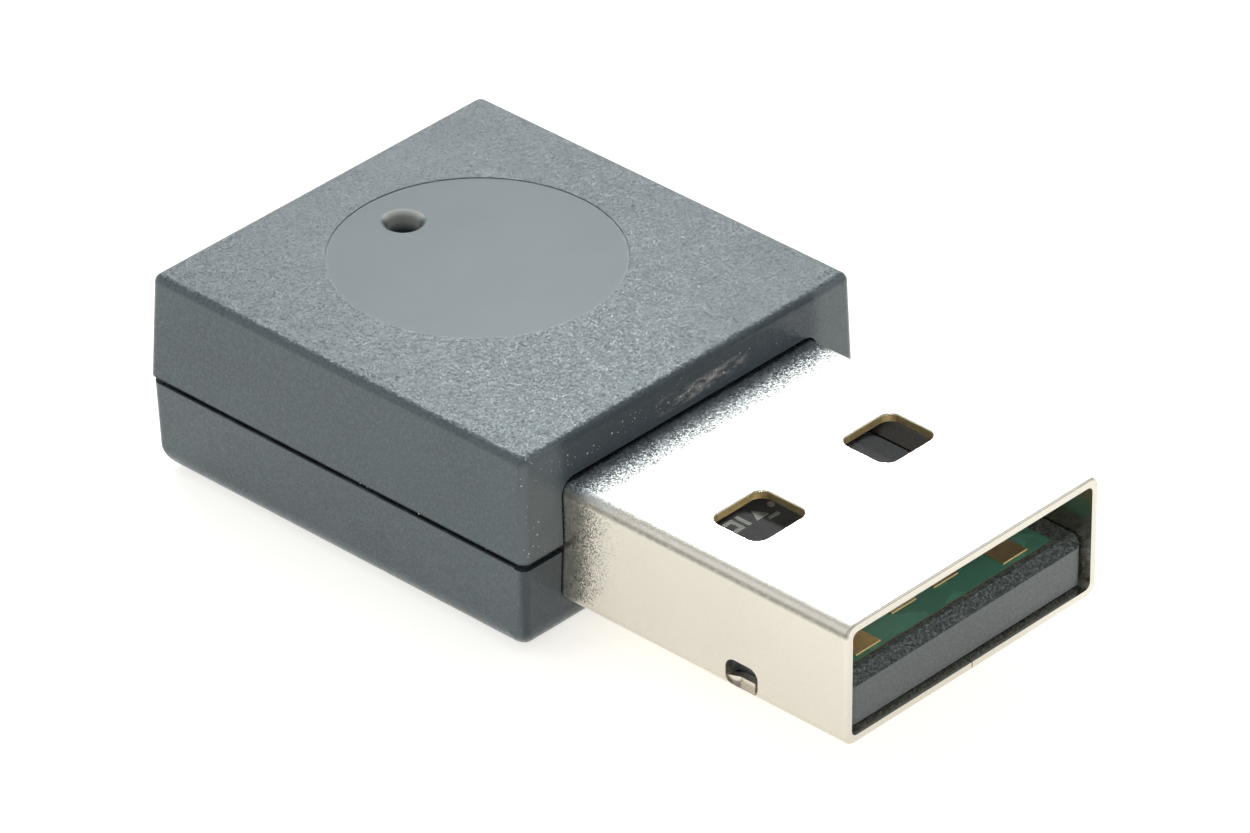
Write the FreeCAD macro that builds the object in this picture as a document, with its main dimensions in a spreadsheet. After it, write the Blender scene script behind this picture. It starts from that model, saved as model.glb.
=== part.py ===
import FreeCAD, Part
import math
import os
import Sketcher

# USB microcontroller programmer in a thumb-size moulded case.
#
# Frame: +Z up, X across the width, the USB plug points along -Y. The origin is at the
# bottom centre of the whole object's box. The case rests on its flat underside at Z = 0
# and the plug is carried clear of it. All sizes are in millimetres.

os.makedirs("parts", exist_ok=True)
doc = FreeCAD.newDocument("usb_microcontroller_programmer")


# ---------------------------------------------------------------- driving dimensions

DIMENSIONS = {
    # moulded case, measured at the parting line, where both halves are widest
    "case_width": 15.75,
    "case_length": 16.9,
    "case_height": 7.4,
    "case_draft": 2.0,           # degrees, on the outer walls of both halves
    "case_corner": 0.32,         # upright corner radius
    "top_edge": 0.3,
    "base_edge": 0.85,
    "seam_height": 3.45,
    "seam_gap": 0.16,
    "seam_edge": 0.05,
    "seam_step": 0.06,           # the upper half overhangs the lower half by this much
    "seam_relief": 0.1,          # the gap is wider by this much across the front
    "relief_depth": 0.5,
    "wall": 1.1,
    "roof": 1.0,
    "floor_thickness": 0.9,
    "cavity_corner": 0.4,
    "lip_width": 0.45,
    "lip_height": 0.8,
    "fit_gap": 0.05,
    # smooth round recess and indicator hole in the roof, placed from the front of the case
    # and slightly to one side of its middle
    "roof_offset": 0.2,
    "recess_radius": 4.97,
    "recess_depth": 0.03,
    "recess_rim": 0.02,
    "recess_setback": 9.7,
    "hole_radius": 0.6,
    "hole_setback": 13.05,
    "hole_rim": 0.2,
    "chimney_radius": 1.2,
    "chimney_clearance": 0.3,
    # locating pins through the board, and the saddle that holds the plug shell
    "pin_radius": 0.6,
    "pin_across": 5.4,
    "pin_setback": 13.35,
    "pin_reach": 1.1,
    "boss_radius": 1.15,
    "saddle_thickness": 0.8,
    "saddle_setback": 2.45,
    # USB type A plug shell, folded from strip
    "plug_exposed": 12.0,
    "plug_inside": 3.6,
    "plug_width": 12.0,
    "plug_height": 4.5,
    "plug_wall": 0.3,
    "plug_corner": 0.45,
    "plug_base": 1.28,           # underside of the plug above the underside of the case
    "plug_rim": 0.1,             # rounding of the shell's edge around the mouth
    "mouth_gap_side": 0.06,
    "mouth_gap_top": 0.13,
    "mouth_corner": 0.6,
    "window_across": 3.06,
    "window_width": 2.46,
    "window_start": 5.27,
    "window_length": 2.1,
    "window_corner": 0.45,
    "window_edge": 0.06,
    "slot_start": 3.7,
    "slot_length": 1.37,
    "slot_low": 0.43,
    "slot_high": 1.2,
    "slot_corner": 0.38,
    "strip_low": 0.15,
    "strip_inset": 0.12,
    "strip_bulge": 0.3,
    "slit_width": 0.04,
    "slit_key": 0.9,
    "slit_key_length": 1.6,
    "leg_height": 1.3,
    "leg_length": 1.75,
    # moulded carrier inside the plug
    "carrier_width": 11.3,
    "carrier_setback": 0.25,
    "carrier_face_top": 1.88,    # above the underside of the plug
    "carrier_face_chamfer": 0.15,
    "carrier_bevel": 0.45,
    "carrier_corner": 0.4,
    "carrier_notch_depth": 0.32,
    "board_lip": 0.03,           # the board stands this much above the carrier's rim
    # circuit board
    "board_height": 2.15,        # its top face above the underside of the plug
    "board_thickness": 0.8,
    "board_width": 12.9,
    "board_rear_gap": 2.45,
    "tongue_width": 9.7,
    "tongue_setback": 0.95,
    "board_clearance": 0.4,      # from the end of the shell to the wide part of the board
    # contact pads on the tongue
    "pad_width": 1.15,
    "pad_thickness": 0.05,
    "pad_inner": 1.0,
    "pad_outer": 3.5,
    "pad_offset": 0.2,           # the row of pads sits this much to the left of the middle
    "pad_end": 7.3,
    "pad_outer_start": 1.12,
    "pad_inner_start": 1.84,
    # integrated circuits with gull wing leads
    "mcu_width": 5.0,
    "mcu_depth": 5.0,
    "mcu_tall": 1.0,
    "mcu_pitch": 0.5,
    "mcu_lead": 0.22,
    "mcu_reach": 1.0,
    "regulator_width": 2.9,
    "regulator_depth": 1.6,
    "regulator_tall": 1.1,
    "regulator_pitch": 0.95,
    "regulator_lead": 0.4,
    "regulator_reach": 0.6,
    "driver_width": 3.0,
    "driver_depth": 3.0,
    "driver_tall": 0.95,
    "driver_pitch": 0.65,
    "driver_lead": 0.3,
    "driver_reach": 0.95,
    "lead_thickness": 0.12,
    "lead_foot": 0.4,
    "package_standoff": 0.1,
    "package_chamfer": 0.14,
    "dimple_radius": 0.22,
    "dimple_depth": 0.06,
    # crystal
    "crystal_width": 3.2,
    "crystal_depth": 2.5,
    "crystal_base_tall": 0.3,
    "crystal_lid_tall": 0.4,
    "crystal_inset": 0.15,
    "crystal_corner": 0.35,
    # indicator
    "led_length": 1.6,
    "led_width": 0.8,
    "led_tall": 0.6,
    "led_end": 0.3,
    "led_edge": 0.15,
    # two-terminal chips: length, width, height and terminal length of each kind
    "small_length": 1.0,
    "small_width": 0.5,
    "small_tall": 0.45,
    "small_end": 0.25,
    "bead_length": 1.6,
    "bead_width": 0.8,
    "bead_tall": 0.8,
    "bead_end": 0.35,
    "fuse_length": 3.2,
    "fuse_width": 1.6,
    "fuse_tall": 0.7,
    "fuse_end": 0.5,
    # target socket in the rear wall, two rows on a 1.27 grid
    "socket_pitch": 1.27,
    "socket_width": 6.45,
    "socket_height": 3.3,
    "socket_depth": 2.3,
    "socket_recess": 0.1,
    "socket_hole": 0.6,
    "socket_lead_in": 0.12,
    "socket_gap": 0.08,
    "flange_margin": 0.45,
    "flange_depth": 1.05,
    "fork_width": 0.36,
    "fork_thickness": 0.1,
    "fork_inset": 0.35,
    "tail_length": 1.35,
    # solder and board markings
    "solder_height": 0.22,
    "solder_width": 0.3,
    "ink_thickness": 0.03,
    "ink_width": 0.13,
    "mark_row": 8.56,
    "mark_height": 0.62,
}

size = doc.addObject("Spreadsheet::Sheet", "size")
for row, (alias, value) in enumerate(DIMENSIONS.items(), start=1):
    size.set(f"A{row}", alias)
    size.set(f"B{row}", str(value))
    size.setAlias(f"B{row}", alias)
doc.recompute()

# Places that follow from the driving dimensions, as expressions on the sheet.
MOUTH = "(-(size.plug_exposed + size.case_length) / 2)"
FRONT = "((size.plug_exposed - size.case_length) / 2)"
REAR = "((size.plug_exposed + size.case_length) / 2)"
CASE_MIDDLE = "(size.plug_exposed / 2)"
SEAM_TOP = "(size.seam_height + size.seam_gap / 2)"
SEAM_BASE = "(size.seam_height - size.seam_gap / 2)"
CEILING = "(size.case_height - size.roof)"
CAVITY_WIDTH = "(size.case_width - 2 * size.wall)"
CAVITY_LENGTH = "(size.case_length - 2 * size.wall)"
PLUG_TOP = "(size.plug_base + size.plug_height)"
SHELL_END = f"({FRONT} + size.plug_inside)"
BOARD_TOP = "(size.plug_base + size.board_height)"
BOARD_BASE = f"({BOARD_TOP} - size.board_thickness)"
BOARD_START = f"({SHELL_END} + size.board_clearance)"
BOARD_END = f"({REAR} - size.board_rear_gap)"
SADDLE_START = f"({FRONT} + size.saddle_setback)"

pieces = {}


# ---------------------------------------------------------------- drawing helpers

def number(expression):
    """The value of an expression on the sheet."""
    return float(size.evalExpression(expression))


def new_body(name):
    """A body that becomes the sub-part called name."""
    body = doc.addObject("PartDesign::Body", name)
    body.AllowCompound = True
    pieces[name] = body
    return body


def sketch_on(body, name, role, offset="0"):
    """A sketch on one of the body's own origin planes, moved along the plane's normal."""
    sketch = body.newObject("Sketcher::SketchObject", name)
    plane = next(item for item in body.Origin.OriginFeatures if item.Role == role)
    sketch.AttachmentSupport = (plane, [""])
    sketch.MapMode = "FlatFace"
    sketch.setExpression("AttachmentOffset.Base.z", offset)
    return sketch


def drive(sketch, kind, *geometry, to):
    """A constraint whose value is bound to an expression."""
    index = sketch.addConstraint(Sketcher.Constraint(kind, *geometry, number(to)))
    sketch.setExpression(f"Constraints[{index}]", to)


def pin_point(sketch, line, point, x, y):
    """Place one end of a line from the sketch's origin."""
    drive(sketch, "DistanceX", -1, 1, line, point, to=x)
    drive(sketch, "DistanceY", -1, 1, line, point, to=y)


def outline(sketch, corners):
    """A closed outline of straight lines through corners given as (x, y) expressions."""
    points = [FreeCAD.Vector(number(x), number(y), 0) for x, y in corners]
    first = sketch.GeometryCount
    count = len(points)
    for index, point in enumerate(points):
        sketch.addGeometry(Part.LineSegment(point, points[(index + 1) % count]), False)
    for index, (x, y) in enumerate(corners):
        line = first + index
        before = first + (index - 1) % count
        sketch.addConstraint(Sketcher.Constraint("Coincident", before, 2, line, 1))
        pin_point(sketch, line, 1, x, y)


def rectangle(sketch, left, bottom, right, top):
    outline(sketch, [(left, bottom), (right, bottom), (right, top), (left, top)])


def rounded_rectangle(sketch, left, bottom, right, top, radius):
    """Four lines joined by four tangent quarter arcs of one radius."""
    x0, y0, x1, y1 = (number(edge) for edge in (left, bottom, right, top))
    r = number(radius)
    quarter = math.pi / 2
    first = sketch.GeometryCount
    sides = [
        ((x0 + r, y0), (x1 - r, y0), (x1 - r, y0 + r), -1),
        ((x1, y0 + r), (x1, y1 - r), (x1 - r, y1 - r), 0),
        ((x1 - r, y1), (x0 + r, y1), (x0 + r, y1 - r), 1),
        ((x0, y1 - r), (x0, y0 + r), (x0 + r, y0 + r), 2),
    ]
    for start, end, centre, turn in sides:
        line = Part.LineSegment(FreeCAD.Vector(*start, 0), FreeCAD.Vector(*end, 0))
        circle = Part.Circle(FreeCAD.Vector(*centre, 0), FreeCAD.Vector(0, 0, 1), r)
        sketch.addGeometry(line, False)
        sketch.addGeometry(Part.ArcOfCircle(circle, turn * quarter, (turn + 1) * quarter), False)
    for index in range(8):
        following = first + (index + 1) % 8
        sketch.addConstraint(Sketcher.Constraint("Tangent", first + index, 2, following, 1))
    for index, direction in enumerate(("Horizontal", "Vertical", "Horizontal", "Vertical")):
        sketch.addConstraint(Sketcher.Constraint(direction, first + 2 * index))
    for arc in (3, 5, 7):
        sketch.addConstraint(Sketcher.Constraint("Equal", first + 1, first + arc))
    drive(sketch, "Radius", first + 1, to=radius)
    drive(sketch, "DistanceY", -1, 1, first, 1, to=bottom)
    drive(sketch, "DistanceX", -1, 1, first + 2, 1, to=right)
    drive(sketch, "DistanceY", -1, 1, first + 4, 1, to=top)
    drive(sketch, "DistanceX", -1, 1, first + 6, 1, to=left)


def circle(sketch, x, y, radius):
    centre = FreeCAD.Vector(number(x), number(y), 0)
    shape = Part.Circle(centre, FreeCAD.Vector(0, 0, 1), number(radius))
    index = sketch.addGeometry(shape, False)
    drive(sketch, "Radius", index, to=radius)
    drive(sketch, "DistanceX", -1, 1, index, 3, to=x)
    drive(sketch, "DistanceY", -1, 1, index, 3, to=y)


def extrude(body, sketch, kind, length, reverse=False, symmetric=False, taper=None):
    """A pad or pocket of the sketch, which has to change the body's volume."""
    before = body.Shape.Volume if body.Tip else 0.0
    feature = body.newObject(f"PartDesign::{kind}", f"{sketch.Name}_{kind.lower()}")
    feature.Profile = sketch
    feature.setExpression("Length", length)
    feature.Reversed = reverse
    if symmetric:
        feature.SideType = "Symmetric"
    if taper:
        feature.setExpression("TaperAngle", taper)
    doc.recompute()
    after = feature.Shape.Volume
    if abs(after - before) < 1e-6 or (after > before) != (kind == "Pad"):
        raise RuntimeError(f"{feature.Name} changes nothing: {before:.4f} to {after:.4f}")
    return feature


def pad(body, sketch, length, **options):
    return extrude(body, sketch, "Pad", length, **options)


def pocket(body, sketch, length, **options):
    return extrude(body, sketch, "Pocket", length, **options)


def edge_names(shape, wanted):
    """Names of the edges that a test picks."""
    return [f"Edge{index}" for index, edge in enumerate(shape.Edges, start=1) if wanted(edge)]


def lies_at(edge, height):
    return all(abs(vertex.Z - height) < 1e-3 for vertex in edge.Vertexes)


def dress(body, kind, names, amount, amount_property):
    """A fillet or chamfer on named edges of the body's tip."""
    feature = body.newObject(f"PartDesign::{kind}", f"{body.Name}_{kind.lower()}")
    feature.Base = (feature.BaseFeature or body.Tip, names)
    feature.setExpression(amount_property, amount)
    doc.recompute()
    return feature


def fillet(body, names, radius):
    return dress(body, "Fillet", names, radius, "Radius")


def chamfer(body, names, amount):
    return dress(body, "Chamfer", names, amount, "Size")


def origin_axis(body, role):
    return next(item for item in body.Origin.OriginFeatures if item.Role == role)


def repeat(body, feature, row_axis, row_count, row_length, turn_axis=None, turn_count=1):
    """Repeat a feature in a row, and then turn the row about one of the body's axes."""
    pattern = body.newObject("PartDesign::MultiTransform", f"{feature.Name}_repeat")
    pattern.Originals = [feature]
    row = body.newObject("PartDesign::LinearPattern", f"{feature.Name}_row")
    row.Direction = row_axis
    row.Occurrences = row_count
    row.setExpression("Length", row_length)
    steps = [row]
    if turn_count > 1:
        turn = body.newObject("PartDesign::PolarPattern", f"{feature.Name}_turn")
        turn.Axis = (origin_axis(body, turn_axis), [""])
        turn.Occurrences = turn_count
        turn.Angle = 360
        steps.append(turn)
    pattern.Transformations = steps
    body.Tip = pattern
    doc.recompute()
    return pattern


def place(item, x="0", y="0", z="0"):
    item.setExpression("Placement.Base.x", x)
    item.setExpression("Placement.Base.y", y)
    item.setExpression("Placement.Base.z", z)


def put_on_board(item, x, y, turn=0, underside=False):
    """Stand an item modelled on Z = 0 on the board's top face, or hang it underneath."""
    upright = FreeCAD.Rotation(FreeCAD.Vector(0, 0, 1), turn)
    over = FreeCAD.Rotation(FreeCAD.Vector(1, 0, 0), 180 if underside else 0)
    item.Placement = FreeCAD.Placement(FreeCAD.Vector(), over.multiply(upright))
    place(item, str(x), str(y), BOARD_BASE if underside else BOARD_TOP)


def block(name, length, width, height):
    """A box object whose three sizes are bound to expressions."""
    item = doc.addObject("Part::Box", name)
    item.setExpression("Length", length)
    item.setExpression("Width", width)
    item.setExpression("Height", height)
    return item


def group(name, items):
    """Separate solids that make one sub-part."""
    compound = doc.addObject("Part::Compound", name)
    compound.Links = items
    pieces[name] = compound
    return compound


# ---------------------------------------------------------------- case halves

def case_outline(body, name, height, step="0"):
    """The outer wall line of the case at the parting line, moved inwards by step."""
    half_width = f"(size.case_width / 2 - {step})"
    sketch = sketch_on(body, name, "XY_Plane", height)
    rectangle(sketch, f"-{half_width}", f"{FRONT} + {step}", half_width, f"{REAR} - {step}")
    return sketch


def cavity_outline(body, name, height, margin="0"):
    """The inner wall line of the case, moved outwards by margin."""
    half_width = f"({CAVITY_WIDTH} / 2 + {margin})"
    half_length = f"({CAVITY_LENGTH} / 2 + {margin})"
    sketch = sketch_on(body, name, "XY_Plane", height)
    rounded_rectangle(sketch, f"-{half_width}", f"{CASE_MIDDLE} - {half_length}", half_width,
                      f"{CASE_MIDDLE} + {half_length}", "size.cavity_corner")
    return sketch


def wall_opening(body, name, start, depth, left, bottom, right, top, radius):
    """A rounded opening through an end wall, cut along +Y from start."""
    sketch = sketch_on(body, name, "XZ_Plane", f"-{start}")
    rounded_rectangle(sketch, left, bottom, right, top, radius)
    pocket(body, sketch, depth)


def plug_opening(body, name):
    half_width = "(size.plug_width / 2 + size.mouth_gap_side)"
    wall_opening(body, name, f"({FRONT} - 1)", "size.wall + 2", f"-{half_width}",
                 "size.plug_base - size.fit_gap", half_width,
                 f"{PLUG_TOP} + size.mouth_gap_top", "size.mouth_corner")


def socket_opening(body, name):
    half_width = "(size.socket_width / 2 + size.socket_gap)"
    half_height = "(size.socket_height / 2 + size.socket_gap)"
    middle = f"({BOARD_TOP} - size.board_thickness / 2)"
    wall_opening(body, name, f"({REAR} - size.wall - 0.5)", "size.wall + 2", f"-{half_width}",
                 f"{middle} - {half_height}", half_width, f"{middle} + {half_height}",
                 "size.fit_gap * 4")


def saddle(body, name, bottom, top, seat_bottom, seat_top):
    """A cross rib shaped around the plug shell."""
    rib = sketch_on(body, name, "XZ_Plane", f"-{SADDLE_START}")
    half_seat = "(size.plug_width / 2 + size.fit_gap / 2)"
    half_rib = f"({CAVITY_WIDTH} / 2)"
    if seat_bottom == bottom:
        corners = [(f"-{half_rib}", bottom), (f"-{half_seat}", bottom), (f"-{half_seat}", seat_top),
                   (half_seat, seat_top), (half_seat, bottom), (half_rib, bottom),
                   (half_rib, top), (f"-{half_rib}", top)]
    else:
        corners = [(f"-{half_rib}", bottom), (half_rib, bottom), (half_rib, top), (half_seat, top),
                   (half_seat, seat_bottom), (f"-{half_seat}", seat_bottom), (f"-{half_seat}", top),
                   (f"-{half_rib}", top)]
    outline(rib, corners)
    pad(body, rib, "size.saddle_thickness", reverse=True)


def pin_centres():
    y = f"({FRONT} + size.pin_setback)"
    return [("-size.pin_across", y), ("size.pin_across", y)]


def round_off(body, name, rules):
    """Fillets of several radii on a finished half, each on the edges that its test picks."""
    rounded = doc.addObject("Part::Fillet", name)
    rounded.Base = body
    chosen = []
    for radius, wanted in rules:
        for edge_name in edge_names(body.Shape, wanted):
            index = int(edge_name[4:])
            chosen.append((index, number(radius), number(radius)))
    rounded.Edges = chosen
    pieces[name] = rounded
    doc.recompute()


def on_outer_wall(edge):
    """True where every end of the edge lies on the drafted outer walls of the case."""
    def reach(point):
        across = abs(point.x) - number("size.case_width / 2")
        along = abs(point.y - number(CASE_MIDDLE)) - number("size.case_length / 2")
        return max(across, along)
    return all(abs(reach(vertex.Point)) < 0.25 for vertex in edge.Vertexes)


def is_corner(edge):
    """True on the four upright corners of the case."""
    start, end = edge.Vertexes[0].Point, edge.Vertexes[-1].Point
    upright = abs(end.z - start.z) > 2.5
    across = abs(abs(start.x) - number("size.case_width / 2")) < 0.25
    along = abs(abs(start.y - number(CASE_MIDDLE)) - number("size.case_length / 2")) < 0.25
    return upright and across and along


def make_upper_case():
    body = doc.addObject("PartDesign::Body", "upper_form")
    shell = case_outline(body, "upper_outline", SEAM_TOP)
    pad(body, shell, f"size.case_height - {SEAM_TOP}", taper="-size.case_draft")
    pocket(body, cavity_outline(body, "upper_cavity", SEAM_TOP), f"{CEILING} - {SEAM_TOP}",
           reverse=True)
    rebate = cavity_outline(body, "upper_rebate", SEAM_TOP, "size.lip_width + size.fit_gap")
    pocket(body, rebate, "size.lip_height", reverse=True)

    saddle(body, "upper_saddle", SEAM_TOP, CEILING, SEAM_TOP, f"{PLUG_TOP} + size.fit_gap / 2")
    chimney = sketch_on(body, "chimney", "XY_Plane", CEILING)
    hole_y = f"{FRONT} + size.hole_setback"
    circle(chimney, "size.roof_offset", hole_y, "size.chimney_radius")
    pad(body, chimney, f"{CEILING} - {BOARD_TOP} - size.led_tall - size.chimney_clearance",
        reverse=True)
    pins = sketch_on(body, "upper_pins", "XY_Plane", CEILING)
    for x, y in pin_centres():
        circle(pins, x, y, "size.pin_radius")
    pad(body, pins, f"{CEILING} - {BOARD_BASE} + size.pin_reach", reverse=True)

    plug_opening(body, "upper_mouth")
    socket_opening(body, "upper_socket_opening")
    recess = sketch_on(body, "recess", "XY_Plane", "size.case_height")
    circle(recess, "size.roof_offset", f"{FRONT} + size.recess_setback", "size.recess_radius")
    pocket(body, recess, "size.recess_depth")
    hole = sketch_on(body, "indicator_hole", "XY_Plane", "size.case_height")
    circle(hole, "size.roof_offset", hole_y, "size.hole_radius")
    pocket(body, hole, "size.case_height - size.seam_height")

    roof_height = number("size.case_height")
    recess_floor = number("size.case_height - size.recess_depth")
    seam = number(SEAM_TOP)

    def is_circle(edge, height, radius):
        """True on the round edge of one radius at one height."""
        round_edge = isinstance(edge.Curve, Part.Circle)
        return lies_at(edge, height) and round_edge and abs(edge.Curve.Radius - number(radius)) < 1e-3

    round_off(body, "upper_case", [
        ("size.case_corner", is_corner),
        ("size.top_edge", lambda edge: lies_at(edge, roof_height) and on_outer_wall(edge)),
        ("size.seam_edge", lambda edge: lies_at(edge, seam) and on_outer_wall(edge)),
        ("size.hole_rim", lambda edge: is_circle(edge, recess_floor, "size.hole_radius")),
        ("size.recess_rim", lambda edge: is_circle(edge, roof_height, "size.recess_radius")),
    ])


def make_lower_case():
    body = doc.addObject("PartDesign::Body", "lower_form")
    shell = case_outline(body, "lower_outline", SEAM_BASE, "size.seam_step")
    pad(body, shell, SEAM_BASE, reverse=True, taper="-size.case_draft")
    pocket(body, cavity_outline(body, "lower_cavity", SEAM_BASE),
           f"{SEAM_BASE} - size.floor_thickness")
    lip = cavity_outline(body, "lip", SEAM_BASE, "size.lip_width")
    lip_height = "(size.lip_height - size.fit_gap)"
    inside = cavity_outline(body, "lip_inside", f"{SEAM_BASE} + {lip_height}")
    pad(body, lip, lip_height)
    pocket(body, inside, lip_height)
    relief = sketch_on(body, "front_relief", "XY_Plane", SEAM_BASE)
    rectangle(relief, "-size.case_width", f"{FRONT} - 1", "size.case_width",
              f"{FRONT} + size.relief_depth")
    pocket(body, relief, "size.seam_relief")

    saddle(body, "lower_saddle", "size.floor_thickness", SEAM_BASE, "size.plug_base", SEAM_BASE)
    bosses = sketch_on(body, "bosses", "XY_Plane", "size.floor_thickness")
    sockets = sketch_on(body, "boss_sockets", "XY_Plane", BOARD_BASE)
    for x, y in pin_centres():
        circle(bosses, x, y, "size.boss_radius")
        circle(sockets, x, y, "size.pin_radius + size.fit_gap")
    pad(body, bosses, f"{BOARD_BASE} - size.floor_thickness")
    pocket(body, sockets, "size.pin_reach + size.fit_gap")

    plug_opening(body, "lower_mouth")
    socket_opening(body, "lower_socket_opening")
    seam = number(SEAM_BASE)
    round_off(body, "lower_case", [
        ("size.case_corner", is_corner),
        ("size.base_edge", lambda edge: lies_at(edge, 0) and on_outer_wall(edge)),
        ("size.seam_edge", lambda edge: lies_at(edge, seam) and on_outer_wall(edge)),
    ])


# ---------------------------------------------------------------- USB plug

def plug_section(sketch, inset):
    """The rounded section of the plug shell, inset from its outside."""
    half = f"(size.plug_width / 2 - {inset})"
    rounded_rectangle(sketch, f"-{half}", f"size.plug_base + {inset}", half,
                      f"{PLUG_TOP} - {inset}", f"size.plug_corner - {inset} * 0.7")


def slit_outline(sketch):
    """The folded seam along the underside, with one dovetail key halfway."""
    half_key = "size.slit_key_length / 2"
    middle = f"({MOUTH} + size.plug_exposed / 2)"
    flare = "size.slit_key * 0.25"
    path = [
        ("0", f"{MOUTH} - 1"),
        ("0", f"{middle} - {half_key} + {flare}"),
        ("size.slit_key", f"{middle} - {half_key}"),
        ("size.slit_key", f"{middle} + {half_key}"),
        ("0", f"{middle} + {half_key} - {flare}"),
        ("0", f"{SHELL_END} + 1"),
    ]
    near_side = [(f"{x} - size.slit_width / 2", y) for x, y in path]
    far_side = [(f"{x} + size.slit_width / 2", y) for x, y in path]
    # the key's two flanks slant, so the far side is also moved along the seam
    far_side[1] = (far_side[1][0], f"{path[1][1]} - size.slit_width")
    far_side[2] = (far_side[2][0], f"{path[2][1]} - size.slit_width")
    far_side[3] = (far_side[3][0], f"{path[3][1]} + size.slit_width")
    far_side[4] = (far_side[4][0], f"{path[4][1]} + size.slit_width")
    outline(sketch, near_side + far_side[::-1])


def strip_profile(sketch, side):
    """The crimp strip seen from above: pressed inwards between the two ends of the slot."""
    start = f"({MOUTH} + size.slot_start)"
    end = f"({start} + size.slot_length)"
    step = "size.slot_length * 0.28"
    outside = "(size.plug_width / 2 - size.strip_inset)"
    inside = "(size.plug_width / 2 - size.plug_wall)"
    bent_outside = "(size.plug_width / 2 - size.strip_bulge)"
    bent_inside = f"({inside} - size.strip_bulge)"
    corners = [
        (outside, start), (bent_outside, f"{start} + {step}"), (bent_outside, f"{end} - {step}"),
        (outside, end), (inside, end), (bent_inside, f"{end} - {step} * 0.85"),
        (bent_inside, f"{start} + {step} * 0.85"), (inside, start),
    ]
    outline(sketch, [(f"{side} * {x}", y) for x, y in corners])


def make_usb_shell():
    body = new_body("usb_shell")
    tube = sketch_on(body, "shell_section", "XZ_Plane", f"-{MOUTH}")
    plug_section(tube, "0")
    plug_section(tube, "size.plug_wall")
    pad(body, tube, "size.plug_exposed + size.plug_inside", reverse=True)

    windows = sketch_on(body, "windows", "XY_Plane", PLUG_TOP)
    start = f"({MOUTH} + size.window_start)"
    for side in ("-1", "1"):
        middle = f"({side} * size.window_across)"
        rounded_rectangle(windows, f"{middle} - size.window_width / 2", start,
                          f"{middle} + size.window_width / 2", f"{start} + size.window_length",
                          "size.window_corner")
    pocket(body, windows, "size.plug_height")

    slots = sketch_on(body, "crimp_slots", "YZ_Plane")
    start = f"({MOUTH} + size.slot_start)"
    end = f"({start} + size.slot_length)"
    low = "(size.plug_base + size.strip_low)"
    high = "(size.plug_base + size.slot_high)"
    rounded_rectangle(slots, start, low, end, high, "size.slot_corner")
    pocket(body, slots, "size.plug_width + 1", symmetric=True)
    strips = sketch_on(body, "crimp_strips", "XY_Plane", low)
    for side in ("-1", "1"):
        strip_profile(strips, side)
    pad(body, strips, "size.slot_low - size.strip_low")

    slit = sketch_on(body, "slit", "XY_Plane", "size.plug_base + size.plug_wall * 1.5")
    slit_outline(slit)
    pocket(body, slit, "size.plug_wall * 2")

    legs = sketch_on(body, "legs", "YZ_Plane", "-size.plug_width / 2")
    middle = f"({BOARD_TOP} - size.board_thickness / 2)"
    rectangle(legs, SHELL_END, f"{middle} - size.leg_height / 2",
              f"{SHELL_END} + size.leg_length", f"{middle} + size.leg_height / 2")
    leg = pad(body, legs, "size.plug_wall")
    mirror = body.newObject("PartDesign::Mirrored", "other_leg")
    mirror.Originals = [leg]
    mirror.MirrorPlane = (origin_axis(body, "YZ_Plane"), [""])
    body.Tip = mirror
    doc.recompute()

    mouth_y, roof = number(MOUTH), number(PLUG_TOP)
    half_width, middle_z = number("size.plug_width / 2"), number("size.plug_base + size.plug_height / 2")
    half_height = number("size.plug_height / 2")

    def is_mouth_edge(edge):
        """True on the outer edge around the mouth, away from the folded seam."""
        ends = [vertex.Point for vertex in edge.Vertexes]
        if not all(abs(end.y - mouth_y) < 1e-3 for end in ends):
            return False
        reach = [max(abs(end.x) - half_width, abs(end.z - middle_z) - half_height) for end in ends]
        return all(abs(value) < 1e-3 for value in reach) and max(end.z for end in ends) > middle_z

    def is_window_edge(edge):
        """True on the upper edge of either window."""
        middle_y = number(f"{start} + size.window_length / 2")
        near_window = all(abs(vertex.Y - middle_y) < number("size.window_length / 2") + 1e-3
                          for vertex in edge.Vertexes)
        return near_window and lies_at(edge, roof)

    fillet(body, edge_names(body.Shape, is_mouth_edge), "size.plug_rim")
    start = f"({MOUTH} + size.window_start)"
    fillet(body, edge_names(body.Shape, is_window_edge), "size.window_edge")


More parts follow.
